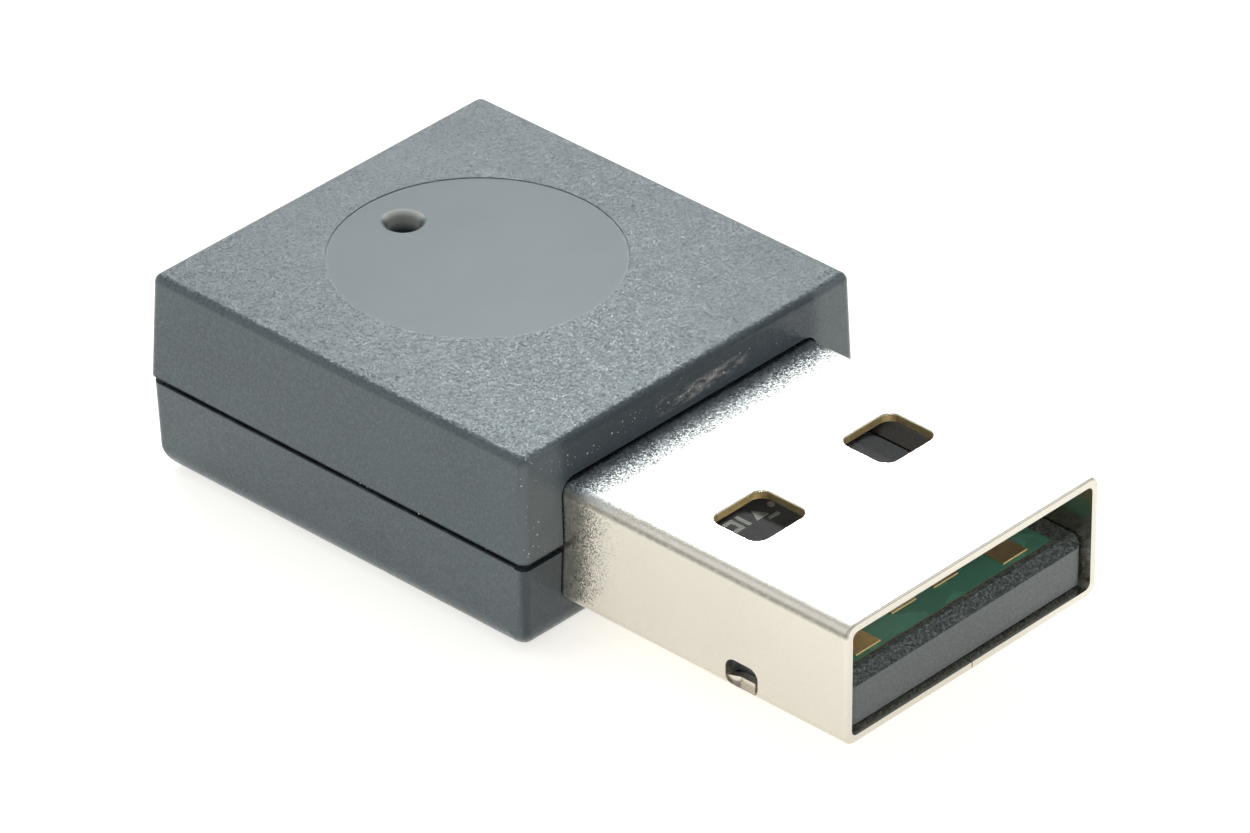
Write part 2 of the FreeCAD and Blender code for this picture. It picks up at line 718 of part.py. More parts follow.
def make_plug_carrier():
    body = new_body("plug_carrier")
    profile = sketch_on(body, "carrier_profile", "YZ_Plane")
    front = f"({MOUTH} + size.carrier_setback)"
    bottom = "(size.plug_base + size.plug_wall + size.fit_gap / 2)"
    face_top = "(size.plug_base + size.carrier_face_top)"
    rim = f"({BOARD_TOP} - size.board_lip)"
    back = f"({SHELL_END} - size.board_clearance)"
    under = "size.carrier_face_chamfer"
    outline(profile, [(f"{front} + {under}", bottom), (back, bottom), (back, rim),
                      (f"{front} + size.carrier_bevel", rim), (front, face_top),
                      (front, f"{bottom} + {under}")])
    pad(body, profile, "size.carrier_width", symmetric=True)
    front_y = number(front)
    corners = edge_names(body.Shape, lambda edge: abs(edge.Length - number(
        f"{face_top} - {bottom} - {under}")) < 1e-3 and edge.Vertexes[0].Y < front_y + 0.01)
    fillet(body, corners, "size.carrier_corner")

    seat = sketch_on(body, "board_seat", "XY_Plane", rim)
    half_board = "(size.tongue_width / 2 + size.fit_gap / 2)"
    rectangle(seat, f"-{half_board}", f"{MOUTH} + size.tongue_setback - size.fit_gap / 2",
              half_board, f"{back} + 1")
    pocket(body, seat, f"{rim} - {BOARD_BASE}")
    notches = sketch_on(body, "crimp_notches", "XY_Plane", rim)
    start = f"({MOUTH} + size.slot_start - size.fit_gap)"
    for side in ("-1", "1"):
        outside = f"({side} * (size.carrier_width / 2 + 0.1))"
        inside = f"({side} * (size.carrier_width / 2 - size.carrier_notch_depth))"
        left, right = sorted((outside, inside), key=number)
        rectangle(notches, left, start, right, f"{start} + size.slot_length + 2 * size.fit_gap")
    pocket(body, notches, "size.plug_height")


# ---------------------------------------------------------------- circuit board

def make_circuit_board():
    body = new_body("circuit_board")
    plan = sketch_on(body, "board_outline", "XY_Plane", BOARD_BASE)
    half_tongue = "(size.tongue_width / 2)"
    half_board = "(size.board_width / 2)"
    leg_inside = "(size.plug_width / 2 - size.plug_wall - size.fit_gap)"
    leg_outside = "(size.plug_width / 2 + size.fit_gap)"
    leg_end = f"({SHELL_END} + size.leg_length + size.fit_gap)"
    right = [(half_tongue, f"{MOUTH} + size.tongue_setback"), (half_tongue, BOARD_START),
             (leg_inside, BOARD_START), (leg_inside, leg_end), (leg_outside, leg_end),
             (leg_outside, BOARD_START), (half_board, BOARD_START), (half_board, BOARD_END)]
    left = [(f"-{x}", y) for x, y in reversed(right)]
    outline(plan, right + left)
    pad(body, plan, "size.board_thickness")
    holes = sketch_on(body, "pin_holes", "XY_Plane", BOARD_TOP)
    for x, y in pin_centres():
        circle(holes, x, y, "size.pin_radius + size.fit_gap")
    pocket(body, holes, "size.board_thickness")


def make_contacts():
    """Four plated pads on the tongue; the two outer ones reach further forward."""
    contacts = [
        ("contact_vbus", "size.pad_outer", "size.pad_outer_start"),
        ("contact_data_minus", "size.pad_inner", "size.pad_inner_start"),
        ("contact_data_plus", "-size.pad_inner", "size.pad_inner_start"),
        ("contact_ground", "-size.pad_outer", "size.pad_outer_start"),
    ]
    for name, centre, start in contacts:
        contact = block(name, "size.pad_width", f"size.pad_end - {start}", "size.pad_thickness")
        left = f"{centre} - size.pad_offset - size.pad_width / 2"
        place(contact, left, f"{MOUTH} + {start}", BOARD_TOP)
        pieces[name] = contact


# ---------------------------------------------------------------- integrated circuits

def make_package(name, prefix, sides, leads_per_side, x, y, underside=False):
    """A moulded package and its gull wing leads, as two sub-parts standing on the board."""
    half_width = f"(size.{prefix}_width / 2)"
    half_depth = f"(size.{prefix}_depth / 2)"
    tall = f"size.{prefix}_tall"
    package = new_body(name)
    plan = sketch_on(package, f"{prefix}_plan", "XY_Plane", "size.package_standoff")
    rectangle(plan, f"-{half_width}", f"-{half_depth}", half_width, half_depth)
    pad(package, plan, f"{tall} - size.package_standoff")
    top = number(tall)
    chamfer(package, edge_names(package.Shape, lambda edge: lies_at(edge, top)),
            "size.package_chamfer")
    dimple = sketch_on(package, f"{prefix}_dimple", "XY_Plane", tall)
    inset = "(size.package_chamfer + size.dimple_radius * 2)"
    circle(dimple, f"{inset} - {half_width}", f"{half_depth} - {inset}", "size.dimple_radius")
    pocket(package, dimple, "size.dimple_depth")
    put_on_board(package, x, y, underside=underside)

    leads = new_body(f"{name}_leads")
    row_length = f"{leads_per_side - 1} * size.{prefix}_pitch"
    profile = sketch_on(leads, f"{prefix}_lead", "YZ_Plane", f"-{row_length} / 2")
    tip = f"({half_depth} + size.{prefix}_reach)"
    heel = f"({tip} - size.lead_foot)"
    thick = "size.lead_thickness"
    shoulder = f"({tall} / 2)"
    bend = f"({half_depth} + ({heel} - {half_depth}) * 0.45)"
    outline(profile, [(half_depth, shoulder), (bend, shoulder), (heel, "0"), (tip, "0"),
                      (tip, thick), (f"{heel} + {thick} / 2", thick),
                      (f"{bend} + {thick} / 2", f"{shoulder} + {thick}"),
                      (half_depth, f"{shoulder} + {thick}")])
    lead = pad(leads, profile, f"size.{prefix}_lead", symmetric=True)
    repeat(leads, lead, (profile, ["N_Axis"]), leads_per_side, row_length, "Z_Axis", sides)
    put_on_board(leads, x, y, underside=underside)


def make_crystal(x, y):
    """A ceramic base with a drawn metal lid."""
    heights = [("crystal_base", "0", "size.crystal_base_tall", "0"),
               ("crystal_lid", "size.crystal_base_tall", "size.crystal_lid_tall",
                "size.crystal_inset")]
    for name, start, tall, inset in heights:
        body = new_body(name)
        plan = sketch_on(body, f"{name}_plan", "XY_Plane", start)
        half_width = f"(size.crystal_width / 2 - {inset})"
        half_depth = f"(size.crystal_depth / 2 - {inset})"
        rounded_rectangle(plan, f"-{half_width}", f"-{half_depth}", half_width, half_depth,
                          "size.crystal_corner")
        pad(body, plan, tall)
        put_on_board(body, x, y)
        if inset != "0":
            top = number(f"{start} + {tall}")
            rim = edge_names(body.Tip.Shape, lambda edge: lies_at(edge, top))
            fillet(body, rim, "size.crystal_inset / 2")


def make_led():
    """The indicator: a clear lens on the board between two terminals."""
    y = f"({FRONT} + size.hole_setback)"
    lens = new_body("status_led")
    plan = sketch_on(lens, "lens_plan", "XY_Plane")
    half_lens = "(size.led_length / 2 - size.led_end)"
    rectangle(plan, f"-{half_lens}", "-size.led_width / 2", half_lens, "size.led_width / 2")
    pad(lens, plan, "size.led_tall")
    top = number("size.led_tall")
    fillet(lens, edge_names(lens.Shape, lambda edge: lies_at(edge, top)), "size.led_edge")
    place(lens, "size.roof_offset", y, BOARD_TOP)
    ends = []
    for index, left in enumerate(("-size.led_length / 2", "size.led_length / 2 - size.led_end")):
        end = block(f"led_terminal_{index + 1}", "size.led_end", "size.led_width",
                    "size.led_tall * 0.55")
        place(end, f"{left} + size.roof_offset", f"{y} - size.led_width / 2", BOARD_TOP)
        ends.append(end)
    group("led_terminals", ends)


def make_chips(body_name, end_name, prefix, places):
    """Two-terminal chips: places are (x, y, lengthwise along Y, on the underside)."""
    length, width, tall, end = (f"size.{prefix}_{part}" for part in
                                ("length", "width", "tall", "end"))
    middles, ends = [], []
    for index, (x, y, along_y, underside) in enumerate(places, start=1):
        z = f"{BOARD_BASE} - {tall}" if underside else BOARD_TOP
        spans = [(f"-{length} / 2", end), (f"-{length} / 2 + {end}", f"{length} - 2 * {end}"),
                 (f"{length} / 2 - {end}", end)]
        for part, (start, span) in enumerate(spans):
            label = f"{prefix}_{body_name}_{index}_{part}"
            if along_y:
                chip = block(label, width, span, tall)
                place(chip, f"{x} - {width} / 2", f"{y} + {start}", z)
            else:
                chip = block(label, span, width, tall)
                place(chip, f"{x} + {start}", f"{y} - {width} / 2", z)
            (middles if part == 1 else ends).append(chip)
    group(body_name, middles)
    group(end_name, ends)


# ---------------------------------------------------------------- target socket

SOCKET_MIDDLE = f"({BOARD_TOP} - size.board_thickness / 2)"
COLUMNS = 5


def socket_outline(sketch, margin):
    half_width = f"(size.socket_width / 2 + {margin})"
    half_height = f"(size.socket_height / 2 + {margin})"
    rectangle(sketch, f"-{half_width}", f"-{half_height}", half_width, half_height)


def make_target_socket():
    """Socket moulding and its spring forks, drawn from the rear face of the case inwards."""
    body = new_body("target_socket")
    face = sketch_on(body, "socket_face", "XZ_Plane", "size.socket_recess")
    socket_outline(face, "0")
    pad(body, face, "size.socket_depth")
    flange = sketch_on(body, "socket_flange", "XZ_Plane", "size.wall + size.fit_gap")
    socket_outline(flange, "size.flange_margin")
    pad(body, flange, "size.flange_depth")
    hole = sketch_on(body, "socket_hole", "XZ_Plane", "size.socket_recess")
    first = f"(-size.socket_pitch * {COLUMNS - 1} / 2)"
    half_hole = "(size.socket_hole / 2)"
    for row in ("-1", "1"):
        middle = f"({row} * size.socket_pitch / 2)"
        rectangle(hole, f"{first} - {half_hole}", f"{middle} - {half_hole}",
                  f"{first} + {half_hole}", f"{middle} + {half_hole}")
    row_length = f"size.socket_pitch * {COLUMNS - 1}"
    cut = pocket(body, hole, "size.socket_depth + 0.1", reverse=True)
    repeat(body, cut, (hole, ["H_Axis"]), COLUMNS, row_length)
    face_y = number("-size.socket_recess")
    half_face = number("size.socket_width / 2")

    def is_hole_mouth(edge):
        ends = [vertex.Point for vertex in edge.Vertexes]
        return all(abs(end.y - face_y) < 1e-3 and abs(end.x) < half_face - 0.1 and
                   abs(end.z) < number("size.socket_height / 2") - 0.1 for end in ends)

    chamfer(body, edge_names(body.Shape, is_hole_mouth), "size.socket_lead_in")
    place(body, "0", REAR, SOCKET_MIDDLE)

    forks = new_body("socket_contacts")
    profile = sketch_on(forks, "fork", "YZ_Plane", first)
    board = "(size.board_thickness / 2)"
    thick = "size.fork_thickness"
    tail = "(-size.board_rear_gap - size.tail_length + size.fork_inset)"
    mouth = "(-size.socket_recess - size.fork_inset)"
    back = "(-size.socket_recess - size.socket_depth + size.fork_inset)"
    upper = f"(size.socket_pitch / 2 + size.socket_hole / 2 - {thick} * 0.6)"
    outline(profile, [(tail, board), (mouth, board), (mouth, f"{board} + {thick}"),
                      (f"{back} + {thick}", f"{board} + {thick}"),
                      (f"{back} + {thick}", f"{upper} - {thick}"), (mouth, f"{upper} - {thick}"),
                      (mouth, upper), (back, upper), (back, f"{board} + {thick}"),
                      (tail, f"{board} + {thick}")])
    fork = pad(forks, profile, "size.fork_width", symmetric=True)
    repeat(forks, fork, (profile, ["N_Axis"]), COLUMNS, row_length, "Y_Axis", 2)
    place(forks, "0", REAR, SOCKET_MIDDLE)


# ---------------------------------------------------------------- solder and markings

def make_leg_solder():
    """Solder ramps on both faces of the board, inside and outside each leg of the shell."""
    body = new_body("leg_solder")
    ramps = sketch_on(body, "leg_ramps", "XZ_Plane", f"-{BOARD_START}")
    inside = "(size.plug_width / 2 - size.plug_wall)"
    outside = "(size.plug_width / 2)"
    for face, away in ((BOARD_TOP, "size.solder_height"), (BOARD_BASE, "(-size.solder_height)")):
        for wall, spread in ((inside, "(-size.solder_width)"), (outside, "size.solder_width")):
            for side in ("-1", "1"):
                outline(ramps, [(f"{side} * {wall}", face),
                                (f"{side} * ({wall} + {spread})", face),
                                (f"{side} * {wall}", f"{face} + {away}")])
    pad(body, ramps, "size.leg_length - size.board_clearance", reverse=True)


def make_socket_solder():
    """A small ramp of solder at the end of every socket tail."""
    body = new_body("socket_solder")
    first = f"(-size.socket_pitch * {COLUMNS - 1} / 2)"
    profile = sketch_on(body, "tail_ramp", "YZ_Plane", first)
    face = "(size.board_thickness / 2)"
    tip = "(-size.board_rear_gap - size.tail_length + size.fork_inset)"
    outline(profile, [(tip, face), (tip, f"{face} + size.fork_thickness"),
                      (f"{tip} - size.solder_width / 2", face)])
    ramp = pad(body, profile, "size.fork_width", symmetric=True)
    repeat(body, ramp, (profile, ["N_Axis"]), COLUMNS, f"size.socket_pitch * {COLUMNS - 1}",
           "Y_Axis", 2)
    place(body, "0", REAR, SOCKET_MIDDLE)


def make_board_markings(crystal_x, crystal_y, pin_one_x, pin_one_y):
    """Printed guides without lettering: plain symbols on the tongue and part outlines."""
    body = new_body("board_markings")
    ink = sketch_on(body, "ink", "XY_Plane", BOARD_TOP)
    line = "size.ink_width"
    low = f"({MOUTH} + size.mark_row)"
    high = f"({low} + size.mark_height)"
    # bracket, bar, arrow head, dot and dash, spaced along the width of the tongue
    outline(ink, [("-1.68", low), ("-1.25", low), ("-1.25", high), ("-1.68", high),
                  ("-1.68", f"{high} - {line}"), (f"-1.25 - {line}", f"{high} - {line}"),
                  (f"-1.25 - {line}", f"{low} + {line}"), ("-1.68", f"{low} + {line}")])
    rectangle(ink, f"-0.95 - {line}", low, "-0.95", high)
    outline(ink, [("-0.7", low), ("-0.16", low), ("-0.43", f"{high} - {line}")])
    circle(ink, "0.3", f"{low} + size.mark_height / 2", f"{line}")
    rectangle(ink, "-0.35", f"{low} - 2 * {line}", "0.12", f"{low} - {line}")
    # outline around the crystal, and the first-pin dot beside the microcontroller
    half_width = f"(size.crystal_width / 2 + {line})"
    half_depth = f"(size.crystal_depth / 2 + {line})"
    for margin in ("0", line):
        rectangle(ink, f"{crystal_x} - {half_width} - {margin}",
                  f"{crystal_y} - {half_depth} - {margin}",
                  f"{crystal_x} + {half_width} + {margin}",
                  f"{crystal_y} + {half_depth} + {margin}")
    circle(ink, str(pin_one_x), str(pin_one_y), line)
    pad(body, ink, "size.ink_thickness")


# ---------------------------------------------------------------- assembly

# places on the board, (x, y); a two-terminal chip also says if it lies along Y, and if it
# hangs from the underside
CRYSTAL_PLACE = (4.3, 3.9)
MCU_PLACE = (-1.7, 5.1)
REGULATOR_PLACE = (4.3, 7.4)
DRIVER_PLACE = (-1.6, 5.2)
PROTECTOR_PLACE = (3.3, 7.6)
FIRST_PIN_MARK = (-4.8, 8.2)
CAPACITOR_PLACES = [(2.5, 2.1, False, False), (-5.9, 3.6, True, False), (-5.9, 6.6, True, False),
                    (2.6, 10.1, True, False), (1.2, 3.4, True, True), (5.6, 5.6, True, True)]
RESISTOR_PLACES = [(-1.9, 10.2, False, False), (-3.4, 10.2, False, False),
                   (3.6, 10.1, True, False), (-5.2, 3.0, True, True), (-5.2, 5.0, True, True)]
BEAD_PLACES = [(-3.4, 2.3, False, True)]
FUSE_PLACES = [(3.4, 3.4, False, True)]

make_upper_case()
make_lower_case()
make_usb_shell()
make_plug_carrier()
make_circuit_board()
make_contacts()
make_package("microcontroller", "mcu", 4, 8, *MCU_PLACE)
make_package("voltage_regulator", "regulator", 2, 3, *REGULATOR_PLACE)
make_package("target_driver", "driver", 2, 4, *DRIVER_PLACE, underside=True)
make_package("surge_protector", "regulator", 2, 3, *PROTECTOR_PLACE, underside=True)
make_crystal(*CRYSTAL_PLACE)
make_led()
make_chips("chip_capacitors", "capacitor_terminals", "small", CAPACITOR_PLACES)
make_chips("chip_resistors", "resistor_terminals", "small", RESISTOR_PLACES)
make_chips("ferrite_bead", "bead_terminals", "bead", BEAD_PLACES)
make_chips("resettable_fuse", "fuse_terminals", "fuse", FUSE_PLACES)
make_target_socket()
make_leg_solder()
make_socket_solder()
make_board_markings(*CRYSTAL_PLACE, *FIRST_PIN_MARK)
doc.recompute()

for item in doc.Objects:
    if "Invalid" in item.State or "Error" in item.State:
        raise RuntimeError(f"{item.Name} did not build: {item.State}")
for name, piece in pieces.items():
    piece.Label = name
    if piece.Shape.isNull() or not piece.Shape.isValid() or not piece.Shape.Solids:
        raise RuntimeError(f"{name} has no valid solid")
for name, piece in pieces.items():
    piece.Shape.exportStep(f"parts/{name}.step")
    box = piece.Shape.BoundBox
    print(f"{name}: {len(piece.Shape.Solids)} solids, {piece.Shape.Volume:.3f} mm3, "
          f"Z {box.ZMin:.2f} to {box.ZMax:.2f}")
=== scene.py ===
import math
import random

import bmesh
import bpy
from mathutils import Matrix, Vector


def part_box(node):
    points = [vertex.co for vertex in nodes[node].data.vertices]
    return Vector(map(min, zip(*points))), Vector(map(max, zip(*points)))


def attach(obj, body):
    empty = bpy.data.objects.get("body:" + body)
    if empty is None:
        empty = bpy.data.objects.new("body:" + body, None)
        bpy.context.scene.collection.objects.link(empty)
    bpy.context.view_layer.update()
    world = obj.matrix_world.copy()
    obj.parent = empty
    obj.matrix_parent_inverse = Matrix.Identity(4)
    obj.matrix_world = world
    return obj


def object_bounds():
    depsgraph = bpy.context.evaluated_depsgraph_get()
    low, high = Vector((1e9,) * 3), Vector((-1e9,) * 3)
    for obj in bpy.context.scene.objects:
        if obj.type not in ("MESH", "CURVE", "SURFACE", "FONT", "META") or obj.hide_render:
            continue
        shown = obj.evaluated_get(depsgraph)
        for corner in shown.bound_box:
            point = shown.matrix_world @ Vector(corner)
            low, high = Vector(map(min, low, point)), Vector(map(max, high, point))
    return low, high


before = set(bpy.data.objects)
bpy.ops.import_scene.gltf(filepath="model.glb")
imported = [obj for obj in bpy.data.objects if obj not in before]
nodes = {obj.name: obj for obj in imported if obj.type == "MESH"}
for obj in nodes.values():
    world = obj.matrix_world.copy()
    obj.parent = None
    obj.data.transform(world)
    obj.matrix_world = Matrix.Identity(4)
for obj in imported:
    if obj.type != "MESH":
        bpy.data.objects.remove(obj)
cad_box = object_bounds()

MM = 0.001


def corners_of(node):
    """The lowest and the highest corner of a CAD node, in millimetres."""
    return [[round(value / MM, 2) for value in corner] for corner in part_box(node)]


# Places in the part's own frame, in millimetres: the plug points along -Y, the case stands
# on Z = 0, and the round recess and the indicator hole are in its roof.
case_low, case_high = corners_of("upper_case")
FRONT_Y = case_low[1]
ROOF_TOP = case_high[2]
SEAM_Z = 3.45
# the hole is over the indicator, and the recess is in line with the hole
led_low, led_high = corners_of("status_led")
HOLE_CENTRE = ((led_low[0] + led_high[0]) / 2, (led_low[1] + led_high[1]) / 2)
HOLE_RIM_RADIUS = 0.79
RECESS_CENTRE = (HOLE_CENTRE[0], FRONT_Y + 9.7)
RECESS_RADIUS = 4.95
plug_low, plug_high = corners_of("usb_shell")
MOUTH_Y = plug_low[1]
PLUG_TOP = plug_high[2]
PLUG_HALF = plug_high[0]
PLUG_WALL = 0.3
WINDOW_CENTRE = (3.06, MOUTH_Y + 6.32)


# ---------------------------------------------------------------- camera

LOOK_AT = Vector((0.29, 0.78, 4.0)) * MM
AZIMUTH = math.radians(-46.95)
ELEVATION = math.radians(32.83)
ROLL = math.radians(-0.197)
DISTANCE = 308.5 * MM
# the lens and its sensor are in millimetres, as Blender wants them
LENS = 274.6
SENSOR_WIDTH = 36


def make_camera():
    """A long lens looking down on the plug's mouth, the left side and the top."""
    right = Vector((math.cos(AZIMUTH), math.sin(AZIMUTH), 0))
    back = Vector((math.sin(AZIMUTH) * math.cos(ELEVATION),
                   -math.cos(AZIMUTH) * math.cos(ELEVATION), math.sin(ELEVATION)))
    up = back.cross(right)
    right = right * math.cos(ROLL) + up * math.sin(ROLL)
    up = back.cross(right)
    data = bpy.data.cameras.new("camera")
    data.sensor_width = SENSOR_WIDTH
    data.lens = LENS
    data.clip_start = 0.01
    data.dof.use_dof = False
    camera = bpy.data.objects.new("camera", data)
    turn = Matrix((right, up, back)).transposed()
    camera.matrix_world = Matrix.Translation(LOOK_AT + back * DISTANCE) @ turn.to_4x4()
    bpy.context.scene.collection.objects.link(camera)
    bpy.context.scene.camera = camera


# ---------------------------------------------------------------- light and floor

# Lamps are placed in metres, and their powers are in watts.
PART_MIDDLE = Vector((0, 0, 0.003))
NEUTRAL = (1.0, 1.0, 1.0)
# one small lamp per window stands off by this much, toward the camera
WINDOW_LAMP_OFFSET = Vector((-0.044, -0.06, 0.066))
WINDOW_BEAM_DEGREES = 5.0
# a beam's lamp is as wide as this share of its reach, which softens its shadow
BEAM_SOFTNESS = 0.027
FLOOR_HALF = 1.2
# the floor lies just under the part, so that the two never share a plane
FLOOR_Z = -0.02 * MM


def add_lamp(name, data, place, target):
    """Stand a lamp at a place and aim it at a target."""
    lamp = bpy.data.objects.new(name, data)
    lamp.location = place
    aim = Vector(target) - Vector(place)
    lamp.rotation_euler = aim.to_track_quat("-Z", "Y").to_euler()
    bpy.context.scene.collection.objects.link(lamp)


def softbox(name, place, size, power, colour=NEUTRAL):
    """A square area light aimed at the part."""
    data = bpy.data.lights.new(name, "AREA")
    data.shape = "SQUARE"
    data.size = size
    data.energy = power
    data.color = colour
    add_lamp(name, data, place, PART_MIDDLE)


def narrow_beam(name, place, power, degrees, target, colour=NEUTRAL):
    """A small lamp whose soft-edged beam falls on one place only."""
    data = bpy.data.lights.new(name, "SPOT")
    data.energy = power
    data.color = colour
    data.spot_size = math.radians(degrees)
    data.spot_blend = 1.0
    data.shadow_soft_size = BEAM_SOFTNESS * (Vector(target) - Vector(place)).length
    add_lamp(name, data, place, target)


def make_lights():
    """Soft light from above and behind, a weak fill in front, and three narrow beams."""
    softbox("overhead", place=(0.02, 0.06, 0.45), size=0.3, power=0.3, colour=(0.92, 0.98, 1.0))
    softbox("rear_right", place=(0.37, 0.34, 0.35), size=0.6, power=2.5, colour=(0.94, 0.99, 1.0))
    softbox("rear_left", place=(-0.38, 0.38, 0.32), size=0.45, power=0.5)
    softbox("front_right", place=(0.33, -0.29, 0.3), size=0.25, power=0.19)
    softbox("front_left", place=(-0.4, -0.3, 0.25), size=0.3, power=0.12)
    # the roof's near corner glitters in a beam of its own
    narrow_beam("sparkle", place=(0.26, 0.25, 0.26), power=2.2, degrees=4.5,
                target=(-0.0055, -0.0015, 0.0074), colour=(0.9, 1.0, 1.0))
    # each window of the plug has its own small beam, so that its inside isn't black
    for side, power in ((-1, 0.16), (1, 0.18)):
        window = Vector((side * WINDOW_CENTRE[0], WINDOW_CENTRE[1], PLUG_TOP)) * MM
        narrow_beam("window_beam", place=window + WINDOW_LAMP_OFFSET, power=power,
                    degrees=WINDOW_BEAM_DEGREES, target=window)


def make_surroundings():
    """Pale, slightly cool light from all round, and a view that doesn't bend the tones."""
    world = bpy.data.worlds.new("studio")
    bpy.context.scene.world = world
    world.use_nodes = True
    background = world.node_tree.nodes["Background"]
    background.inputs["Color"].default_value = (0.93, 0.97, 1.0, 1)
    background.inputs["Strength"].default_value = 0.4
    view = bpy.context.scene.view_settings
    view.view_transform = "Standard"
    view.look = "None"


def make_floor():
    """A pale sheet that glows a little, so that the underside of the part isn't lost."""
    mesh = bpy.data.meshes.new("floor")
    corners = [(-1, -1), (1, -1), (1, 1), (-1, 1)]
    mesh.from_pydata([(x * FLOOR_HALF, y * FLOOR_HALF, FLOOR_Z) for x, y in corners], [],
                     [(0, 1, 2, 3)])
    floor = bpy.data.objects.new("floor", mesh)
    bpy.context.scene.collection.objects.link(floor)
    material = bpy.data.materials.new("pale_floor")
    material.use_nodes = True
    shader = material.node_tree.nodes["Principled BSDF"]
    shader.inputs["Base Color"].default_value = (0.8, 0.79, 0.77, 1)
    shader.inputs["Roughness"].default_value = 0.9
    shader.inputs["Emission Color"].default_value = (1, 0.98, 0.93, 1)
    shader.inputs["Emission Strength"].default_value = 0.66
    mesh.materials.append(material)


# ---------------------------------------------------------------- material helpers

class Graph:
    """Shorthand for building one material's nodes. Lengths are given in millimetres, and a
    noise's scale in features per millimetre. A mask is a value from 0 to 1."""

    def __init__(self, name):
        self.material = bpy.data.materials.new(name)
        self.material.use_nodes = True
        self.tree = self.material.node_tree
        self.shader = self.tree.nodes["Principled BSDF"]
        metres = self.node("ShaderNodeTexCoord").outputs["Object"]
        self.place = self.node("ShaderNodeVectorMath", {0: metres, 3: 1 / MM},
                               operation="SCALE").outputs[0]
        self.x, self.y, self.z = self.split(self.place)

    def node(self, kind, inputs=None, **settings):
        """A new node with its settings, and its inputs fed by name or number."""
        made = self.tree.nodes.new(kind)
        for key, value in settings.items():
            setattr(made, key, value)
        for key, value in (inputs or {}).items():
            self.feed(made.inputs[key], value)
        return made

    def feed(self, socket, value):
        """Link another node's output to a socket, or set the socket's own value."""
        if isinstance(value, bpy.types.NodeSocket):
            self.tree.links.new(value, socket)
        else:
            socket.default_value = value

    def set(self, name, value):
        """Feed one of the shader's own sockets."""
        self.feed(self.shader.inputs[name], value)

    def split(self, vector):
        """The three parts of a vector."""
        return self.node("ShaderNodeSeparateXYZ", {"Vector": vector}).outputs

    def normal(self):
        """The three parts of the surface's own direction, before any bump."""
        return self.split(self.node("ShaderNodeNewGeometry").outputs["Normal"])

    def stretch(self, x, y, z):
        """The place with each axis scaled, for streaks along one of them."""
        return self.node("ShaderNodeVectorMath", {0: self.place, 1: (x, y, z)},
                         operation="MULTIPLY").outputs[0]

    def noise(self, per_mm, detail=2.0, roughness=0.5, distortion=0.0, place=None):
        """A smooth random value about 0.5."""
        made = self.node("ShaderNodeTexNoise", {
            "Vector": place or self.place, "Scale": per_mm, "Detail": detail,
            "Roughness": roughness, "Distortion": distortion})
        return made.outputs["Fac"]

    def cells(self, per_mm, output="Distance"):
        """A pattern of irregular cells."""
        made = self.node("ShaderNodeTexVoronoi", {"Vector": self.place, "Scale": per_mm})
        return made.outputs[output]

    def ramp(self, value, low, high, start=0.0, end=1.0):
        """The value rescaled from low..high to start..end, and held there outside."""
        made = self.node("ShaderNodeMapRange", {
            "Value": value, "From Min": low, "From Max": high, "To Min": start, "To Max": end})
        return made.outputs["Result"]

    def fade(self, mask, clear, full):
        """A quantity that goes from clear, where the mask is 0, to full, where it is 1."""
        return self.ramp(mask, 0, 1, clear, full)

    def math(self, operation, a, b=0.0):
        """One arithmetic step."""
        return self.node("ShaderNodeMath", {0: a, 1: b}, operation=operation).outputs[0]

    def magnitude(self, value):
        """The value without its sign."""
        return self.math("ABSOLUTE", value)

    def both(self, *masks):
        """The place that all the masks share."""
        result = masks[0]
        for mask in masks[1:]:
            result = self.math("MULTIPLY", result, mask)
        return result

    def either(self, a, b):
        """The stronger of two masks."""
        return self.math("MAXIMUM", a, b)

    def near(self, value, middle, far, close):
        """One within close of the middle, falling to nothing at far."""
        return self.ramp(self.magnitude(self.math("SUBTRACT", value, middle)), far, close)

    def within(self, centre, radius, soft):
        """One inside an upright cylinder, falling to nothing over a soft edge."""
        flat = self.node("ShaderNodeCombineXYZ", {"X": self.x, "Y": self.y}).outputs[0]
        reach = self.node("ShaderNodeVectorMath", {0: flat, 1: (*centre, 0)},
                          operation="DISTANCE").outputs["Value"]
        return self.ramp(reach, radius, radius - soft)

    def mix(self, amount, a, b):
        """The first colour where the amount is 0, and the second where it is 1."""
        made = self.node("ShaderNodeMix", {"Factor": amount, 6: a, 7: b}, data_type="RGBA")
        return made.outputs[2]

    def bump(self, height, depth, strength=1.0, below=None):
        """The surface's direction over a relief, laid on the relief below it."""
        inputs = {"Height": height, "Distance": depth * MM, "Strength": strength}
        if below is not None:
            inputs["Normal"] = below
        return self.node("ShaderNodeBump", inputs).outputs["Normal"]

    def leaning(self, lean):
        """The surface's own direction pushed aside by a vector."""
        plain = self.node("ShaderNodeNewGeometry").outputs["Normal"]
        pushed = self.node("ShaderNodeVectorMath", {0: plain, 1: lean}, operation="ADD")
        return self.node("ShaderNodeVectorMath", {0: pushed.outputs[0]},
                         operation="NORMALIZE").outputs[0]

    def facets(self, per_mm, tilt, forward=0.0):
        """Small flat facets that each lean their own way, and all of them a little forward."""
        lean = self.node("ShaderNodeVectorMath", {
            0: self.cells(per_mm, output="Color"), 1: (-0.5, -0.5 - forward, -0.5)},
            operation="ADD")
        lean = self.node("ShaderNodeVectorMath", {0: lean.outputs[0], 3: tilt}, operation="SCALE")
        return self.leaning(lean.outputs[0])


def colour(r, g, b):
    """A linear colour as a node's socket takes it."""
    return (r, g, b, 1.0)


def finish_on(names, graph):
    """Give CAD nodes a finished material in place of their plain one."""
    for name in names:
        slots = nodes[name].data.materials
        slots.clear()
        slots.append(graph.material)


# ---------------------------------------------------------------- the case

